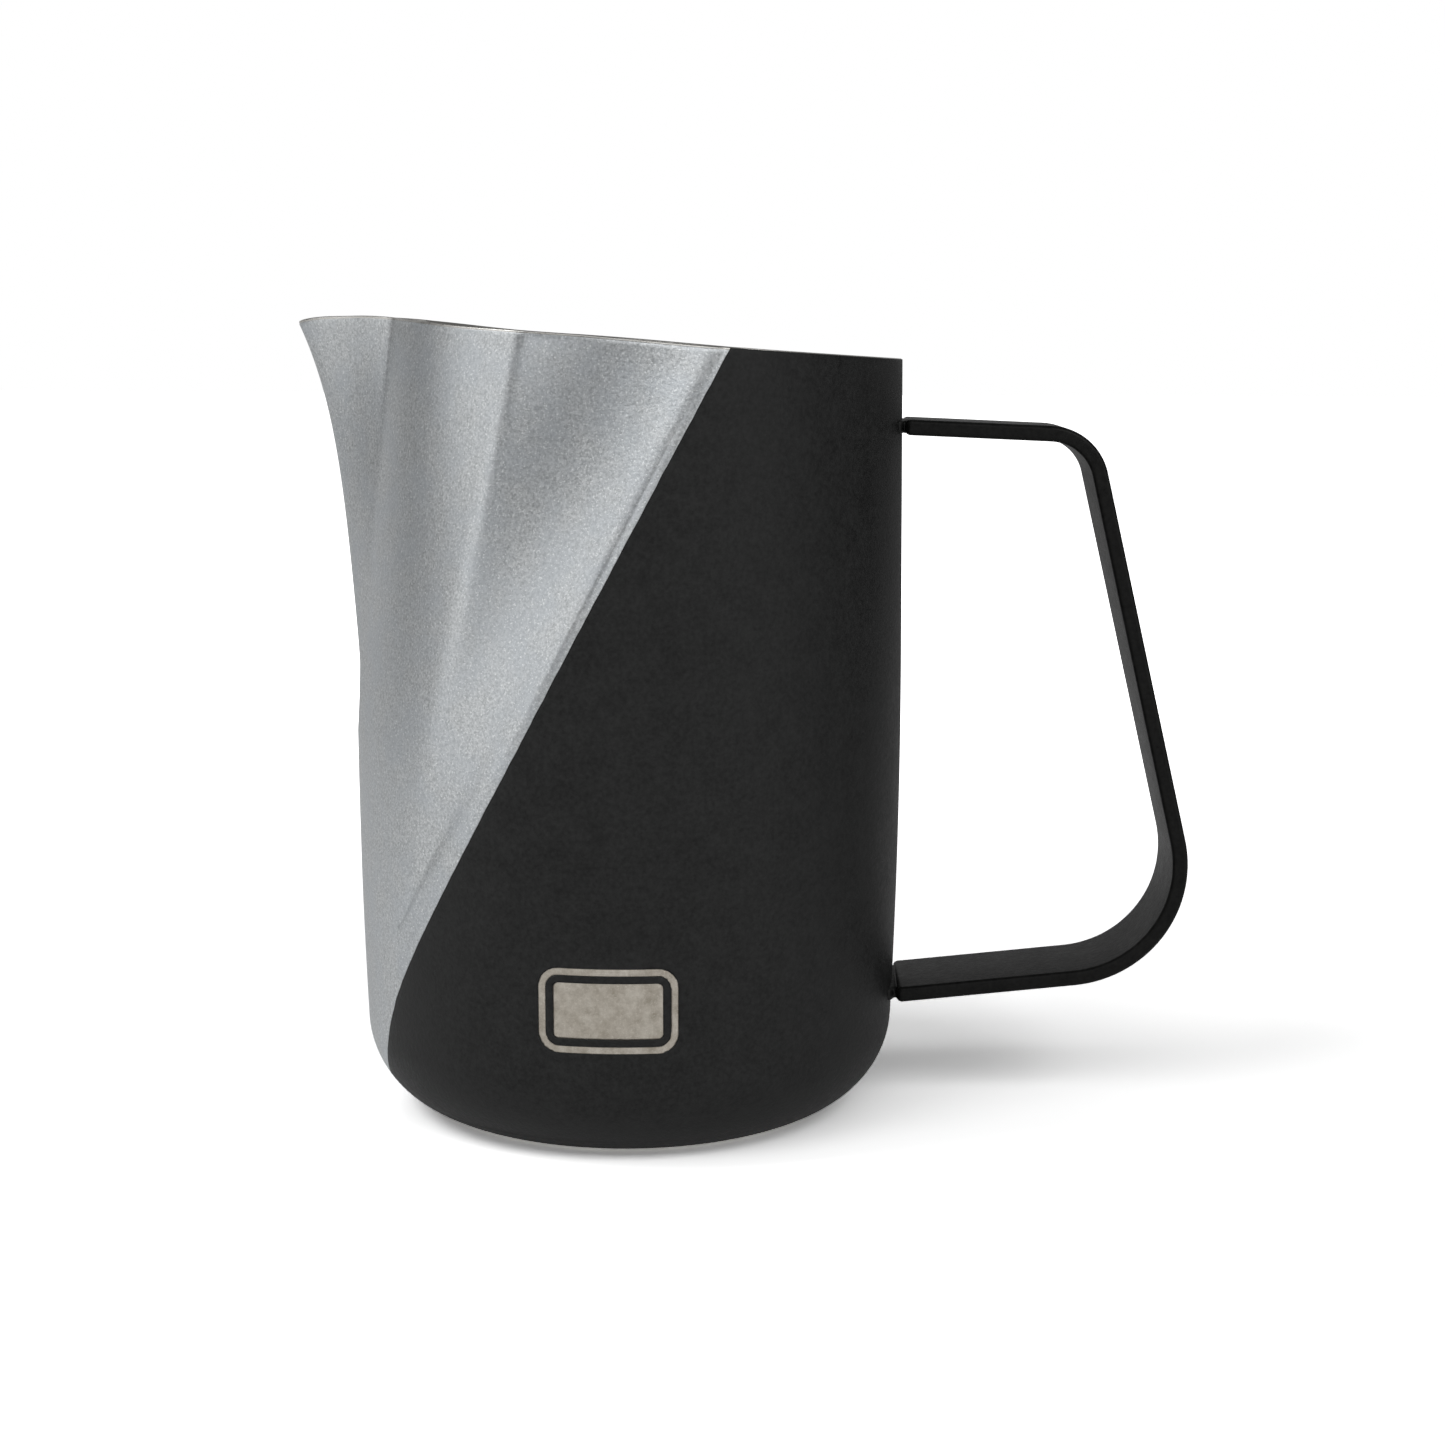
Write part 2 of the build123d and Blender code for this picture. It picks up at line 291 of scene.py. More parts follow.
class Cup:
    """The steel's outside, as points and normals by column and by distance up from the foot's edge."""

    levels = np.linspace(0, 127.0, 1271)
    heights = np.linspace(10.0, 127.0, 400)

    def __init__(self):
        self.outlines = np.array([outline(z) for z in self.heights])
        self.climb_slope = np.gradient(self.outlines, self.heights, axis=0)
        after, before = np.roll(self.outlines, -1, axis=1), np.roll(self.outlines, 1, axis=1)
        self.turn_slope = (after - before) / math.radians(2 * SAMPLE_STEP)
        rng = np.random.default_rng(7)
        step = self.levels[1] - self.levels[0]
        wander = sum(size * ragged(len(self.levels), step, reach, rng) for size, reach in EDGE_WANDER)
        self.edge_angle = np.array([self.border(z, w) for z, w in zip(self.levels, wander)])
        at_dimple = np.interp(DIMPLE_HEIGHT, self.levels, self.edge_angle)
        steel, coats = [], []
        for z, edge in zip(self.levels, self.edge_angle):
            line = [0.0, inner_crease(z)[0], outer_crease(z)[0], fold(z)[0]]
            steel.append(line + [line[-1] + 6.0, 180.0])
            low = min(1.0, edge / at_dimple)
            coats.append([stop * low for stop in line] + [edge, 180.0])
        self.stops = {"steel": np.array(steel), "coats": np.array(coats)}
        self.edge_tip = self.levels[np.argmax(self.edge_angle > 0)]

    def border(self, z, wander):
        """Angle of the edge between the coats at height z."""
        reach = round_reach(z)
        x = float(coat_edge(z)) + wander
        if x <= -reach:
            return 0.0
        return math.degrees(math.acos(-x / self.surface_at(x, z, reach)))

    def surface_at(self, x, z, reach):
        for _ in range(6):
            angle = math.degrees(math.acos(max(-1.0, min(1.0, -x / reach))))
            if z > DIMPLE_HEIGHT + 0.5:
                reach = float(self.look_up(self.outlines, np.array([angle]), np.array([z]))[0])
        return reach

    def look_up(self, table, angle, z):
        """Bilinear value of a table of heights by sampled angles."""
        row = (z - self.heights[0]) / (self.heights[1] - self.heights[0])
        row = np.clip(row, 0, len(self.heights) - 1.001)
        column = ((angle + 180.0) % 360.0) / SAMPLE_STEP
        r, c = row.astype(int), column.astype(int) % len(SAMPLES)
        n = (c + 1) % len(SAMPLES)
        u, v = row - r, column - np.floor(column)
        low = table[r, c] * (1 - v) + table[r, n] * v
        high = table[r + 1, c] * (1 - v) + table[r + 1, n] * v
        return low * (1 - u) + high * u

    def column_angle(self, layout, place, z):
        """Angle at heights z of the column at a place, counted from the spout and negative on the +Y side."""
        side, place = (1 if place >= 0 else -1), abs(place)
        ends = np.cumsum((0,) + COLUMNS)
        k = min(int(np.searchsorted(ends, place, side="right")) - 1, len(COLUMNS) - 1)
        share = (place - ends[k]) / COLUMNS[k]
        start, end = (np.interp(z, self.levels, self.stops[layout][:, i]) for i in (k, k + 1))
        return side * (start + (end - start) * share)

    def at(self, layout, place, climb):
        """Points and outward normals at distances climb, an array, up the column at a place."""
        turn = np.clip(climb / CORNER_RADIUS, 0, CORNER_TURN)
        above = climb > CORNER_LENGTH
        z = np.where(above, CORNER_TOP + climb - CORNER_LENGTH, CORNER_RADIUS * (1 - np.cos(turn)))
        degrees = self.column_angle(layout, place, z)
        wall_reach = self.look_up(self.outlines, degrees, z)
        reach = np.where(above, wall_reach, CORNER_CENTRE + CORNER_RADIUS * np.sin(turn))
        angle = np.radians(degrees)
        outward = np.stack([-np.cos(angle), -np.sin(angle), np.zeros_like(z)], axis=-1)
        along = np.stack([np.sin(angle), -np.cos(angle), np.zeros_like(z)], axis=-1)
        up = np.array([0.0, 0.0, 1.0])
        lean = np.where(above, -self.look_up(self.climb_slope, degrees, z), 0.0)
        swing = np.where(above, -self.look_up(self.turn_slope, degrees, z) / reach, 0.0)
        wall = outward + along * swing[:, None] + up * lean[:, None]
        corner = outward * np.sin(turn)[:, None] - up * np.cos(turn)[:, None]
        normal = np.where(above[:, None], wall, corner)
        normal /= np.linalg.norm(normal, axis=-1, keepdims=True)
        return outward * reach[:, None] + up * z[:, None], normal

    def rim_climb(self, layout, place):
        """The distance up a column at which it meets the rim."""
        low, high = CORNER_LENGTH, CORNER_LENGTH + 126.0 - CORNER_TOP
        for _ in range(32):
            mid = (low + high) / 2
            point = self.at(layout, place, np.array([mid]))[0][0]
            if point[2] < rim_height(point[0]):
                low = mid
            else:
                high = mid
        return (low + high) / 2


cup = Cup()
HALF_TURN = sum(COLUMNS)
EDGE_PLACE = sum(COLUMNS[:4])


# ---------------------------------------------------------------- meshes
def add_mesh(name, vertices, faces, material=None, ride="root"):
    mesh = bpy.data.meshes.new(name)
    mesh.from_pydata([tuple(v) for v in np.asarray(vertices) * MM], [], faces)
    mesh.update()
    mesh.shade_smooth()
    piece = bpy.data.objects.new(name, mesh)
    bpy.context.scene.collection.objects.link(piece)
    if material:
        mesh.materials.append(material)
    if ride:
        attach(piece, ride)
    return piece


def grid_faces(columns, rows, offset=0, flip=False, closed=False):
    """Quads over a grid stored column by column; they face outwards on the cup unless flipped."""
    faces = []
    for c in range(columns if closed else columns - 1):
        n = (c + 1) % columns
        for r in range(rows - 1):
            a, b = offset + c * rows + r, offset + n * rows + r
            faces.append((a, a + 1, b + 1, b) if flip else (a, b, b + 1, a + 1))
    return faces


EDGE_RUN = (0.0, 0.03, 0.10)        # distance in from a coat's edge, and the share of its thickness there
EDGE_LIFT = (0.15, 0.75, 0.96)


def coat_places(first, last):
    """Columns from one place to another, with two more close to each end for the rounded edge."""
    inner = list(range(math.ceil(first) + 1, math.floor(last)))
    start = [first + run for run in EDGE_RUN]
    end = [last - run for run in reversed(EDGE_RUN)]
    lift = list(EDGE_LIFT) + [1.0] * len(inner) + list(reversed(EDGE_LIFT))
    return start + inner + end, lift


def make_skin(name, first, last, low, lip, rows, material):
    """A closed thin skin over a patch of the cup, between two columns, with softly rounded edges."""
    places, side_lift = coat_places(first, last)
    share = np.linspace(0, 1, rows)
    base, normals, lifts = [], [], []
    for place, lift in zip(places, side_lift):
        wrapped = place if place <= HALF_TURN else place - 2 * HALF_TURN
        high = cup.rim_climb("coats", wrapped) - lip
        climb = low + EDGE_RUN[2] + share * (high - low - 2 * EDGE_RUN[2])
        climb = np.concatenate([[low, low + EDGE_RUN[1]], climb, [high - EDGE_RUN[1], high]])
        point, normal = cup.at("coats", wrapped, climb)
        base.append(point)
        normals.append(normal)
        ends = np.concatenate([EDGE_LIFT[:2], np.ones(rows), EDGE_LIFT[1::-1]])
        lifts.append(np.minimum(ends, lift))
    base, normals, lifts = np.array(base), np.array(normals), np.array(lifts)
    outer = base + normals * (COAT * lifts)[..., None]
    inner = base - normals * COAT_SUNK
    columns, total = lifts.shape
    shift = columns * total
    faces = grid_faces(columns, total) + grid_faces(columns, total, shift, flip=True)
    for c in range(columns - 1):
        a, b = c * total, (c + 1) * total
        faces.append((b, a, a + shift, b + shift))
        a, b = a + total - 1, b + total - 1
        faces.append((a, b, b + shift, a + shift))
    last_column = (columns - 1) * total
    for r in range(total - 1):
        faces.append((r, r + 1, r + 1 + shift, r + shift))
        i = last_column + r
        faces.append((i + shift, i + 1 + shift, i + 1, i))
    vertices = np.concatenate([outer.reshape(-1, 3), inner.reshape(-1, 3)])
    return add_mesh(name, vertices, faces, material)


def make_shell(material):
    """The drawn steel cup: underside, outside, deburred rim, inside and floor, as one closed mesh."""
    places = list(range(HALF_TURN)) + list(range(-HALF_TURN, 0))
    share = np.linspace(0, 1, 150) ** 0.9
    outside, normals, ups = [], [], []
    for place in places:
        top = cup.rim_climb("steel", place) - RIM_ROUND
        point, normal = cup.at("steel", place, share * top)
        outside.append(point)
        normals.append(normal)
        ups.append(point[-1] - point[-2])
    outside, normals, ups = np.array(outside), np.array(normals), np.array(ups)
    ups /= np.linalg.norm(ups, axis=-1, keepdims=True)
    top, top_normal = outside[:, -1], normals[:, -1]
    loop = []
    for turn in np.linspace(0, math.pi / 2, 5)[1:]:
        loop.append(top + RIM_ROUND * (ups * math.sin(turn) - top_normal * (1 - math.cos(turn))))
    for turn in np.linspace(0, math.pi / 2, 5):
        inset = WALL - RIM_ROUND + RIM_ROUND * math.sin(turn)
        loop.append(top - top_normal * inset + ups * RIM_ROUND * math.cos(turn))
    inside = outside[:, ::-1] - normals[:, ::-1] * WALL
    angle = np.arctan2(outside[:, 0, 1], outside[:, 0, 0])
    around = np.stack([np.cos(angle), np.sin(angle)], axis=-1)

    def ring(radius, z):
        return np.concatenate([around * radius, np.full((len(places), 1), z)], axis=-1)

    underside = [ring(r, z) for r, z in UNDERSIDE]
    floor = [ring(r, z + WALL) for r, z in reversed(UNDERSIDE)]
    path = np.stack(underside + list(outside.transpose(1, 0, 2)) + loop
                    + list(inside[:, 1:].transpose(1, 0, 2)) + floor, axis=1)
    columns, rows = path.shape[:2]
    centres = [[0, 0, UNDERSIDE[0][1]], [0, 0, UNDERSIDE[0][1] + WALL]]
    faces = grid_faces(columns, rows, closed=True)
    bottom = columns * rows
    for c in range(columns):
        n = (c + 1) % columns
        faces.append((n * rows, c * rows, bottom))
        faces.append((c * rows + rows - 1, n * rows + rows - 1, bottom + 1))
    return add_mesh("cup_shell", np.concatenate([path.reshape(-1, 3), centres]), faces, material)


# ---------------------------------------------------------------- etched mark: a plain framed field
MARK_CENTRE = (0.1, 24.8)       # X and Z
MARK_FRAME = (20.4, 12.8, 3.0)  # width, height and corner radius
MARK_GAP = (18.2, 10.6, 1.9)
MARK_FIELD = (16.0, 8.4, 0.8)
CUTTER_DEPTHS = (-47.0, -38.0)  # along Y, either side of the near wall


def rounded_rectangle(width, height, radius, steps=7):
    points = []
    for sx, sz, start in ((1, 1, 0), (-1, 1, 90), (-1, -1, 180), (1, -1, 270)):
        for a in np.radians(start + np.linspace(0, 90, steps)):
            points.append((sx * (width / 2 - radius) + radius * math.cos(a),
                           sz * (height / 2 - radius) + radius * math.sin(a)))
    return np.array(points) + MARK_CENTRE


def prism(outline, start, window=None):
    """Vertices and faces of a prism through the near wall, with or without a window in it."""
    loops = [outline] + ([window] if window is not None else [])
    count = len(outline)
    vertices = [(x, y, z) for loop in loops for y in CUTTER_DEPTHS for x, z in loop]
    faces = []
    for i in range(count):
        n = (i + 1) % count
        faces.append((i, n, n + count, i + count))
        if window is not None:
            a, b = 2 * count + i, 2 * count + n
            faces.append((b, a, a + count, b + count))
            faces.append((n, i, a, b))
            faces.append((i + count, n + count, b + count, a + count))
    if window is None:
        faces.append(tuple(reversed(range(count))))
        faces.append(tuple(range(count, 2 * count)))
    return vertices, [tuple(start + i for i in reversed(face)) for face in faces]


def make_mark_cutter():
    frame_vertices, frame_faces = prism(rounded_rectangle(*MARK_FRAME), 0, rounded_rectangle(*MARK_GAP))
    field_vertices, field_faces = prism(rounded_rectangle(*MARK_FIELD), len(frame_vertices))
    return add_mesh("mark_cutter", frame_vertices + field_vertices, frame_faces + field_faces, ride=None)


def make_mark_sheet(material):
    """A thin sheet on the steel behind the mark, on the round part of the wall."""
    xs = np.linspace(-12, 12, 61)
    zs = np.linspace(16.5, 33.0, 42)
    vertices = []
    for lift in (0.02, -0.02):
        for x in xs:
            for z in zs:
                reach = wall_radius(z) + lift
                vertices.append((x, -math.sqrt(reach**2 - x**2), z))
    columns, rows = len(xs), len(zs)
    shift = columns * rows
    faces = grid_faces(columns, rows) + grid_faces(columns, rows, shift, flip=True)
    for c in range(columns - 1):
        a, b = c * rows, (c + 1) * rows
        faces.append((b, a, a + shift, b + shift))
        a, b = a + rows - 1, b + rows - 1
        faces.append((a, b, b + shift, a + shift))
    for r in range(rows - 1):
        faces.append((r, r + 1, r + 1 + shift, r + shift))
        i = (columns - 1) * rows + r
        faces.append((i + shift, i + 1 + shift, i + 1, i))
    return add_mesh("etched_mark", vertices, faces, material)


def cut(piece, cutter, operation):
    step = piece.modifiers.new("cut", "BOOLEAN")
    step.operation = operation
    step.object = cutter
    step.solver = "EXACT"
    mesh = bpy.data.meshes.new_from_object(piece.evaluated_get(bpy.context.evaluated_depsgraph_get()))
    piece.modifiers.clear()
    old, piece.data = piece.data, mesh
    bpy.data.meshes.remove(old)


# ---------------------------------------------------------------- handle
def strap_corners():
    """Corners of the bar's centre line before bending, in X and Z, from its upper end to its lower."""
    def corner(height, slope):
        x = (GRIP[0] + GRIP[1] * (height - slope * STRAP_END - GRIP_HEIGHT)) / (1 - GRIP[1] * slope)
        return np.array([x, height + slope * (x - STRAP_END)])

    def end(height, slope):
        return np.array([STRAP_END, height])

    return [end(*UPPER_ARM), corner(*UPPER_ARM), corner(*LOWER_ARM), end(*LOWER_ARM)]


def strap_path():
    """Points along the bent bar, and which way it runs at each."""
    corners = strap_corners()
    points, ways = [], []
    start = corners[0]
    for i, radius in ((1, UPPER_BEND), (2, LOWER_BEND)):
        before, after = corners[i] - corners[i - 1], corners[i + 1] - corners[i]
        before, after = before / np.linalg.norm(before), after / np.linalg.norm(after)
        turn = math.acos(before @ after)
        reach = radius * math.tan(turn / 2)
        first = corners[i] - before * reach
        side = np.array([before[1], -before[0]])
        for share in np.linspace(0, 1, 26, endpoint=False):
            points.append(start + (first - start) * share)
            ways.append(before)
        for a in np.linspace(0, turn, 30, endpoint=False):
            points.append(first + side * radius * (1 - math.cos(a)) + before * radius * math.sin(a))
            ways.append(before * math.cos(a) + side * math.sin(a))
        start = corners[i] + after * reach
    for share in np.linspace(0, 1, 26):
        points.append(start + (corners[3] - start) * share)
        ways.append(after)
    return points, ways


def bar_section(width, thickness, radius):
    section = []
    for sx, sy, start in ((1, 1, 0), (-1, 1, 90), (-1, -1, 180), (1, -1, 270)):
        for a in np.radians(start + np.linspace(0, 90, 7)):
            section.append((sx * (width / 2 - radius) + radius * math.cos(a),
                            sy * (thickness / 2 - radius) + radius * math.sin(a)))
    return section


def make_bar(name, points, ways, sections, material):
    """A bar through one section (a list of across and through) at each point of a path in X and Z."""
    vertices, faces = [], []
    for (x, z), way, section in zip(points, ways, sections):
        for across, through in section:
            vertices.append((x - way[1] * through, across, z + way[0] * through))
    count = len(sections[0])
    for i in range(len(points) - 1):
        for j in range(count):
            a, b = i * count + j, i * count + (j + 1) % count
            faces.append((a, b, b + count, a + count))
    last = (len(points) - 1) * count
    faces.append(tuple(reversed(range(count))))
    faces.append(tuple(range(last, last + count)))
    return add_mesh(name, vertices, faces, material)


def make_strap(material):
    points, ways = strap_path()
    full = (STRAP_WIDTH, STRAP_THICKNESS, STRAP_EDGE)
    sections = [bar_section(*full)] * len(points)
    trims = ((0.0, 0.75), (0.12, 0.45), (0.35, 0.18), (0.75, 0.0))     # distance from an end, and how far in
    start, end, first, last = points[0], points[-1], ways[0], ways[-1]

    def ring(trim):
        return bar_section(STRAP_WIDTH - 2 * trim, STRAP_THICKNESS - 2 * trim, max(0.1, STRAP_EDGE - trim))

    head = [start + first * d for d, _ in trims]
    tail = [end - last * d for d, _ in reversed(trims)]
    opening = [ring(t) for _, t in trims]
    points = head + points[1:-1] + tail
    ways = [first] * len(trims) + ways[1:-1] + [last] * len(trims)
    sections = opening + sections[1:-1] + opening[::-1]
    return make_bar("handle_strap_bar", points, ways, sections, material)


def make_weld(name, arm, material):
    """A weld neck from inside the cup's skin out to the bar, flaring a little at both ends."""
    height, slope = arm
    way = np.array([1.0, slope]) / math.hypot(1.0, slope)
    wall = wall_radius(height)
    reach = math.sqrt(wall**2 - (WELD_WIDTH / 2) ** 2)
    # distance from the axis, and size relative to the neck's
    stations = sorted([(reach - 0.35, 1.10), (wall - 0.25, 1.06), (wall + 0.12, 0.98),
                       (STRAP_END - 0.15, 0.96), (STRAP_END + 0.05, 1.0), (STRAP_END + 0.4, 1.0)])
    points = [np.array([x, height + slope * (x - STRAP_END)]) for x, _ in stations]
    thick = STRAP_THICKNESS - 2 * WELD_INSET
    sections = [bar_section(WELD_WIDTH * g, thick * g, 0.7) for _, g in stations]
    return make_bar(name, points, [way] * len(points), sections, material)


# ---------------------------------------------------------------- materials
class Nodes:
    """Short calls for building one material's node tree."""

    def __init__(self, name, **settings):
        self.material = bpy.data.materials.new(name)
        self.material.use_nodes = True
        self.tree = self.material.node_tree
        self.shader = self.tree.nodes["Principled BSDF"]
        self.set(self.shader, settings)
        self.place = self.add("ShaderNodeTexCoord").outputs["Object"]

    def add(self, kind, inputs=None, **settings):
        node = self.tree.nodes.new(kind)
        for key, value in settings.items():
            setattr(node, key, value)
        self.set(node, inputs or {})
        return node

    def set(self, node, inputs):
        for key, value in inputs.items():
            if isinstance(value, bpy.types.NodeSocket):
                self.tree.links.new(value, node.inputs[key])
            else:
                node.inputs[key].default_value = value

    def noise(self, size, detail=2.0, roughness=0.5):
        """Noise from 0 to 1 with features about size millimetres across."""
        inputs = {"Vector": self.place, "Scale": 1000.0 / size, "Detail": detail, "Roughness": roughness}
        return self.add("ShaderNodeTexNoise", inputs).outputs["Fac"]

    def ramp(self, value, low, high, start=0.0, end=1.0):
        inputs = {"Value": value, "From Min": start, "From Max": end, "To Min": low, "To Max": high}
        return self.add("ShaderNodeMapRange", inputs).outputs[0]

    def mix(self, share, first, second):
        node = self.add("ShaderNodeMix", data_type="RGBA")
        self.set(node, {0: share})
        for key, value in ((6, first), (7, second)):
            if isinstance(value, bpy.types.NodeSocket):
                self.tree.links.new(value, node.inputs[key])
            else:
                node.inputs[key].default_value = (*value, 1.0)
        return node.outputs[2]

    def math(self, operation, first, second):
        return self.add("ShaderNodeMath", {0: first, 1: second}, operation=operation).outputs[0]

    def bump(self, height, distance, strength=1.0, normal=None):
        inputs = {"Height": height, "Distance": distance * MM, "Strength": strength}
        if normal:
            inputs["Normal"] = normal
        return self.add("ShaderNodeBump", inputs).outputs[0]

    def edge_wear(self, size):
        """1 along sharp outer edges and 0 on flats."""
        rounded = self.add("ShaderNodeBevel", {"Radius": size * MM}, samples=6).outputs[0]
        flat = self.add("ShaderNodeNewGeometry").outputs["Normal"]
        turn = self.add("ShaderNodeVectorMath", {0: rounded, 1: flat}, operation="DOT_PRODUCT")
        return self.ramp(turn.outputs["Value"], 1.0, 0.0, 0.82, 0.985)


SILVER_DARK = (0.42, 0.44, 0.45)
SILVER_LIGHT = (0.76, 0.78, 0.79)
SILVER_COOL = (0.55, 0.59, 0.63)
SILVER_FLAKE = (0.95, 0.97, 0.98)


def make_silver_coat():
    m = Nodes("silver_coat", Metallic=0.85, IOR=1.5)
    grain = m.noise(0.42, 3.0, 0.7)
    flake = m.noise(0.30, 1.0)
    cloud = m.noise(7.0, 3.0)
    base = m.mix(m.ramp(grain, 0.0, 1.0, 0.32, 0.68), SILVER_DARK, SILVER_LIGHT)
    base = m.mix(m.ramp(cloud, 0.0, 0.45, 0.40, 0.65), base, SILVER_COOL)
    base = m.mix(m.ramp(flake, 0.0, 0.7, 0.60, 0.72), base, SILVER_FLAKE)
    peel = m.bump(m.noise(1.3, 2.0), 0.05, 0.35)
    fine = m.bump(grain, 0.05, 0.6, peel)
    m.set(m.shader, {"Base Color": base, "Roughness": m.ramp(grain, 0.30, 0.38, 0.3, 0.7), "Normal": fine})
    return m.material


def make_black_coat(name, dark, light, low_rough, high_rough, specular=0.3):
    m = Nodes(name, **{"Specular IOR Level": specular})
    grain = m.noise(0.75, 4.0, 0.7)
    cloud = m.noise(4.0, 4.0, 0.6)
    mixed = m.math("ADD", m.math("MULTIPLY", grain, 0.7), m.math("MULTIPLY", cloud, 0.3))
    base = m.mix(m.ramp(mixed, 0.0, 1.0, 0.36, 0.64), dark, light)
    peel = m.bump(m.noise(1.6, 2.0), 0.05, 0.30)
    fine = m.bump(grain, 0.10, 0.7, peel)
    m.set(m.shader, {"Base Color": base, "Roughness": m.ramp(mixed, low_rough, high_rough, 0.36, 0.64),
                     "Normal": fine})
    return m.material


def make_steel():
    """Drawn steel: a fine satin ground finish that runs round the cup, with a deburred, mottled edge."""
    m = Nodes("satin_steel", Metallic=1.0)
    axis = m.add("ShaderNodeSeparateXYZ", {0: m.place})
    around = m.math("ARCTAN2", axis.outputs[1], axis.outputs[0])
    turned = m.add("ShaderNodeCombineXYZ", {0: around, 1: m.math("MULTIPLY", axis.outputs[2], 1000.0)})
    lines = m.add("ShaderNodeTexNoise", {"Vector": turned.outputs[0], "Scale": 5.0, "Detail": 4.0,
                                         "Roughness": 0.7}).outputs["Fac"]
    mottle = m.noise(0.7, 4.0, 0.7)
    cloud = m.noise(14.0, 3.0)
    base = m.mix(m.ramp(lines, 0.0, 1.0, 0.35, 0.65), (0.58, 0.57, 0.54), (0.78, 0.77, 0.74))
    base = m.mix(m.ramp(cloud, 0.0, 0.25, 0.35, 0.65), base, (0.42, 0.40, 0.37))
    wear = m.math("MULTIPLY", m.edge_wear(0.35), m.ramp(mottle, 0.0, 0.9, 0.45, 0.6))
    base = m.mix(wear, base, (0.34, 0.32, 0.28))
    rough = m.math("ADD", m.ramp(lines, 0.24, 0.36, 0.35, 0.65), m.ramp(mottle, -0.03, 0.06, 0.35, 0.65))
    normal = m.bump(mottle, 0.02, 0.25, m.bump(lines, 0.01, 0.35))
    m.set(m.shader, {"Base Color": base, "Roughness": rough, "Normal": normal})
    return m.material


def make_etched():
    """Bare steel left by the etching laser: fine passes side by side, and a little heat tint."""
    m = Nodes("etched_steel", Metallic=0.9)
    axis = m.add("ShaderNodeSeparateXYZ", {0: m.place})
    passes = m.add("ShaderNodeTexNoise", {"Vector": axis.outputs[0], "Scale": 9000.0, "Detail": 1.0},
                   noise_dimensions="3D").outputs["Fac"]
    tint = m.noise(1.8, 4.0, 0.7)
    speck = m.noise(0.25, 2.0, 0.6)
    base = m.mix(m.ramp(tint, 0.0, 1.0, 0.3, 0.7), (0.42, 0.375, 0.31), (0.68, 0.635, 0.56))
    base = m.mix(m.ramp(speck, 0.0, 0.5, 0.55, 0.75), base, (0.80, 0.77, 0.70))
    rough = m.ramp(passes, 0.40, 0.56, 0.3, 0.7)
    normal = m.bump(passes, 0.012, 0.4, m.bump(speck, 0.02, 0.4))
    m.set(m.shader, {"Base Color": base, "Roughness": rough, "Normal": normal})
    return m.material


silver_material = make_silver_coat()
black_material = make_black_coat("black_coat", (0.003, 0.0031, 0.0031), (0.018, 0.0185, 0.0183), 0.44, 0.60)
handle_material = make_black_coat("handle_coat", (0.002, 0.002, 0.0019), (0.009, 0.009, 0.0085), 0.34, 0.46,
                                  specular=0.15)
weld_material = make_black_coat("weld_coat", (0.006, 0.0063, 0.006), (0.012, 0.012, 0.0115), 0.44, 0.58)
steel_material = make_steel()
etched_material = make_etched()


# ---------------------------------------------------------------- pieces
shell = make_shell(steel_material)
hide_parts("body_shell")

hem_climb = CORNER_RADIUS * math.acos(1 - COAT_HEM / CORNER_RADIUS)
tip_climb = CORNER_RADIUS * math.acos(1 - (cup.edge_tip + 0.02) / CORNER_RADIUS)
black = make_skin("black_coat_skin", EDGE_PLACE, 2 * HALF_TURN - EDGE_PLACE, hem_climb, BLACK_LIP, 190,
                  black_material)
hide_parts("black_coat")
silver = make_skin("silver_coat_skin", -EDGE_PLACE, EDGE_PLACE, tip_climb, BARE_LIP, 220, silver_material)
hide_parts("silver_coat")

cutter = make_mark_cutter()
mark = make_mark_sheet(etched_material)
cut(black, cutter, "DIFFERENCE")
cut(mark, cutter, "INTERSECT")
bpy.data.objects.remove(cutter)

handle = [
    (make_strap(handle_material), "handle_coat", "handle_strap"),
    (make_weld("upper_weld_neck", UPPER_ARM, weld_material), "weld_coat", "upper_weld"),
    (make_weld("lower_weld_neck", LOWER_ARM, weld_material), "weld_coat", "lower_weld"),
]
for piece, slot, node in handle:
    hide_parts(node)


# ---------------------------------------------------------------- floor, lights and camera
# Colours of the floor as the camera sees it, added white well away from the cup, and a slight glow
FLOOR_SEEN_DARK = (2.6, 2.6, 2.6)
FLOOR_SEEN_LIGHT = (2.7, 2.7, 2.7)
FLOOR_SWEEP = 1.2
FLOOR_GLOW = 0.06
AMBIENT = (0.136, 0.136, 0.136)


def make_floor():
    """A pale floor. The camera sees it as an overexposed white sweep; the cup is lit by its plain colour."""
    m = Nodes("pale_floor", Roughness=0.85)
    seen = m.add("ShaderNodeLightPath").outputs["Is Camera Ray"]
    tone = m.ramp(m.noise(40.0, 3.0), 0.0, 1.0)
    plain = m.mix(tone, (0.86, 0.86, 0.86), (0.90, 0.90, 0.90))
    exposed = m.mix(tone, FLOOR_SEEN_DARK, FLOOR_SEEN_LIGHT)
    away = m.add("ShaderNodeVectorMath", {0: m.place}, operation="LENGTH").outputs["Value"]
    sweep = m.math("MULTIPLY", seen, m.ramp(away, 0.0, FLOOR_SWEEP, 0.16, 0.45))
    m.set(m.shader, {"Base Color": m.mix(seen, plain, exposed), "Emission Color": (1.0, 1.0, 1.0, 1.0),
                     "Emission Strength": m.math("ADD", sweep, m.ramp(away, FLOOR_GLOW, 0.0, 0.12, 0.6))})
    mesh = bpy.data.meshes.new("floor")
    mesh.from_pydata([(-6, -6, 0), (6, -6, 0), (6, 6, 0), (-6, 6, 0)], [], [(0, 1, 2, 3)])
    floor = bpy.data.objects.new("floor", mesh)
    bpy.context.scene.collection.objects.link(floor)
    mesh.materials.append(m.material)


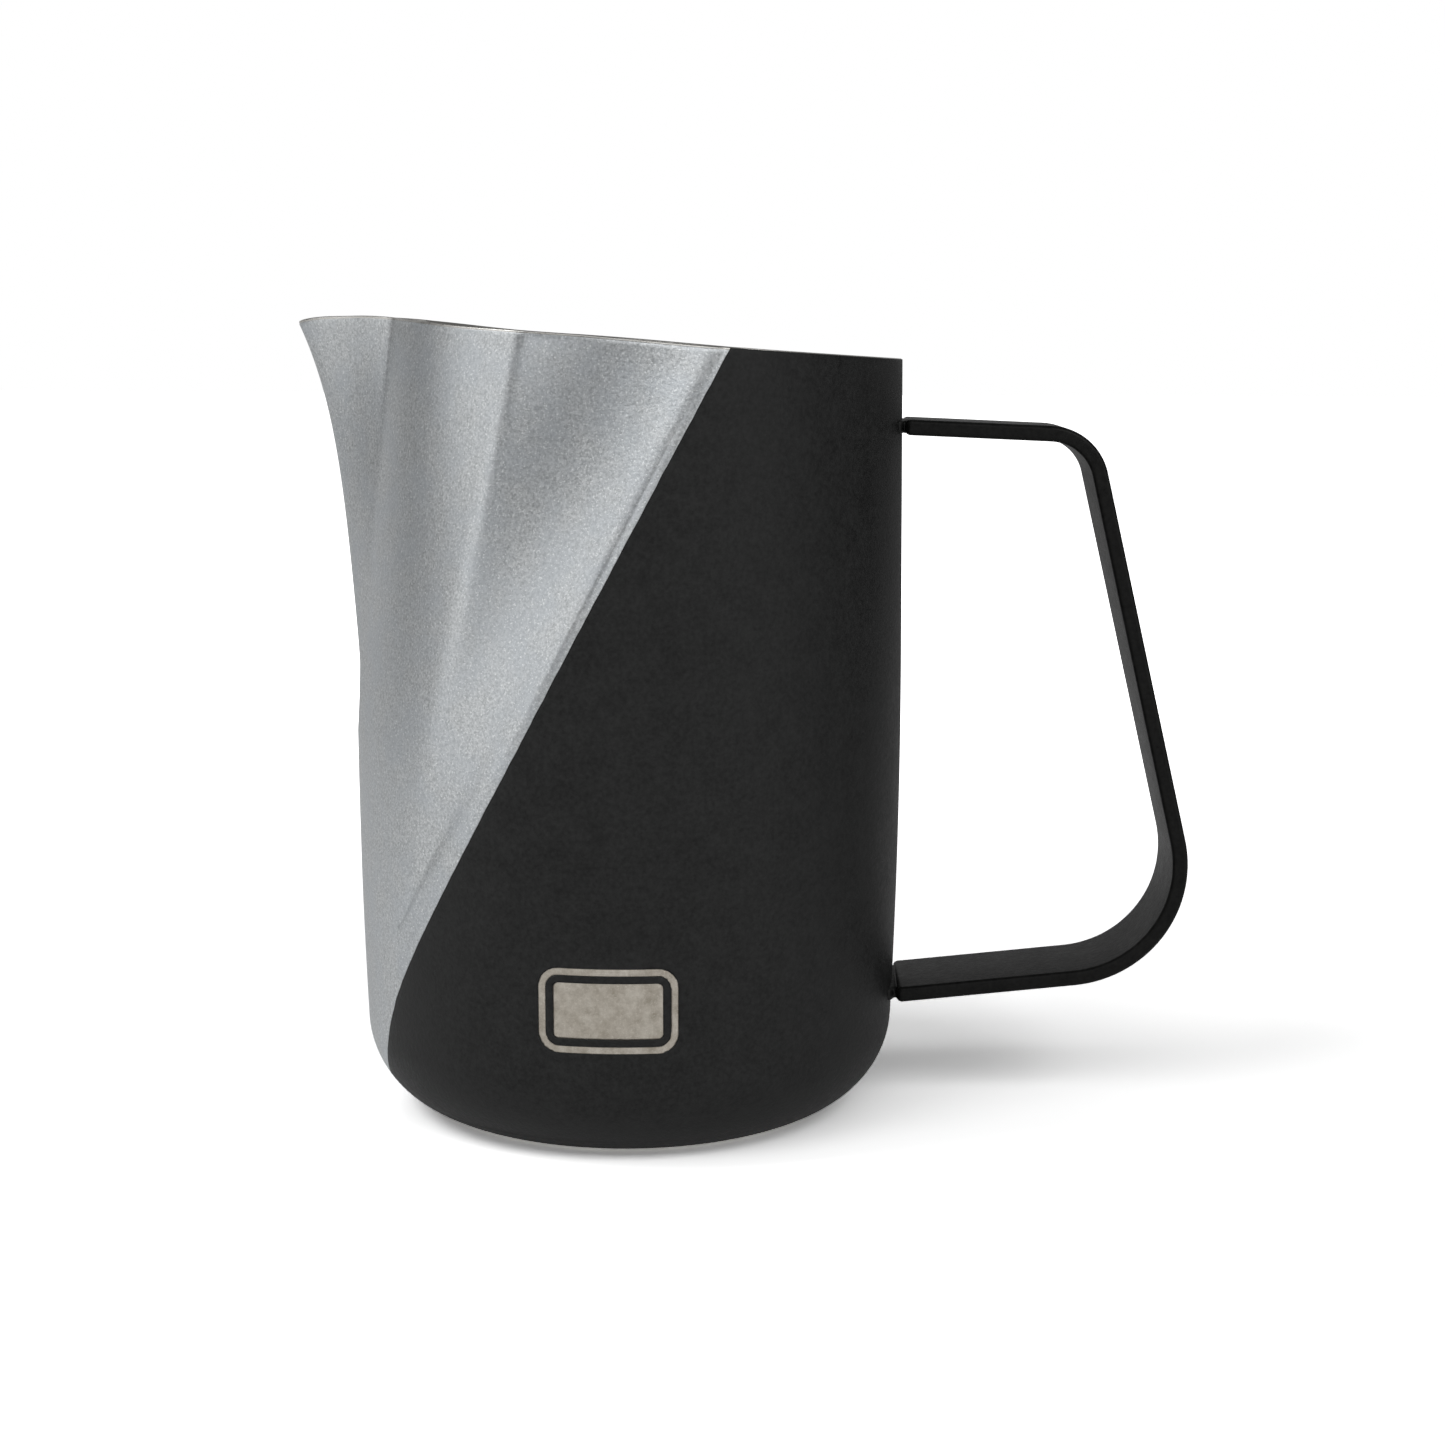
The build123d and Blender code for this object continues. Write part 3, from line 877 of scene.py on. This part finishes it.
def add_light(name, azimuth, elevation, distance, width, height, power):
    """A softbox that faces the middle of the cup; azimuth is in degrees right of the camera's side."""
    a, e = math.radians(azimuth), math.radians(elevation)
    direction = Vector((math.sin(a) * math.cos(e), -math.cos(a) * math.cos(e), math.sin(e)))
    data = bpy.data.lights.new(name, "AREA")
    data.shape = "RECTANGLE"
    data.size, data.size_y = width, height
    data.energy = power
    light = bpy.data.objects.new(name, data)
    light.location = Vector((0, 0, 0.06)) + direction * distance
    light.rotation_euler = direction.to_track_quat("Z", "Y").to_euler()
    light.visible_camera = False
    bpy.context.scene.collection.objects.link(light)


def make_world(seen, ambient):
    world = bpy.data.worlds.new("studio")
    bpy.context.scene.world = world
    world.use_nodes = True
    nodes, links = world.node_tree.nodes, world.node_tree.links
    background = nodes["Background"]
    ray = nodes.new("ShaderNodeLightPath")
    mix = nodes.new("ShaderNodeMix")
    mix.data_type = "RGBA"
    mix.inputs[6].default_value = (*ambient, 1.0)
    mix.inputs[7].default_value = (*seen, 1.0)
    links.new(ray.outputs["Is Camera Ray"], mix.inputs[0])
    links.new(mix.outputs[2], background.inputs["Color"])


# Softboxes: name, azimuth, elevation, distance, width, height (metres) and power
LIGHTS = [
    ("front_low", 0, 5, 1.2, 0.5, 0.25, 0.6),
    ("front_high", 0, 45, 1.2, 0.6, 0.4, 1.0),
    ("right_box", 55, 12, 1.1, 0.8, 0.6, 1.4),
    ("right_high", 40, 40, 1.2, 0.5, 0.5, 2.4),
    ("left_high", -40, 40, 1.2, 0.5, 0.5, 1.5),
    ("left_side_high", -80, 45, 1.2, 0.5, 0.5, 3.0),
    ("left_bank", -68, 12, 1.1, 1.0, 0.6, 1.4),
    ("left_back", -140, 12, 1.1, 0.8, 0.6, 0.5),
    ("back_low", 180, 14, 1.3, 1.6, 0.5, 0.7),
]

# Camera: place in millimetres, angles in radians, lens in millimetres
CAMERA_PLACE = (30.16, -370.37, 119.29)
CAMERA_YAW = -0.04159
CAMERA_PITCH = 0.15714
CAMERA_ROLL = 0.0039
CAMERA_LENS = 58.66


def make_camera():
    level = math.cos(CAMERA_PITCH)
    ahead = Vector((math.sin(CAMERA_YAW) * level, math.cos(CAMERA_YAW) * level, -math.sin(CAMERA_PITCH)))
    right = Vector((math.cos(CAMERA_YAW), -math.sin(CAMERA_YAW), 0))
    up = right.cross(ahead)
    rolled_right = right * math.cos(CAMERA_ROLL) + up * math.sin(CAMERA_ROLL)
    rolled_up = up * math.cos(CAMERA_ROLL) - right * math.sin(CAMERA_ROLL)
    data = bpy.data.cameras.new("camera")
    data.lens = CAMERA_LENS
    data.sensor_width = 36.0
    data.clip_start = 0.01
    camera = bpy.data.objects.new("camera", data)
    turn = Matrix((rolled_right, rolled_up, -ahead)).transposed().to_4x4()
    camera.matrix_world = Matrix.Translation(Vector(CAMERA_PLACE) * MM) @ turn
    bpy.context.scene.collection.objects.link(camera)
    bpy.context.scene.camera = camera


make_floor()
make_world((1.0, 1.0, 1.0), AMBIENT)
for light in LIGHTS:
    add_light(*light)
bpy.context.scene.view_settings.view_transform = "Standard"
make_camera()
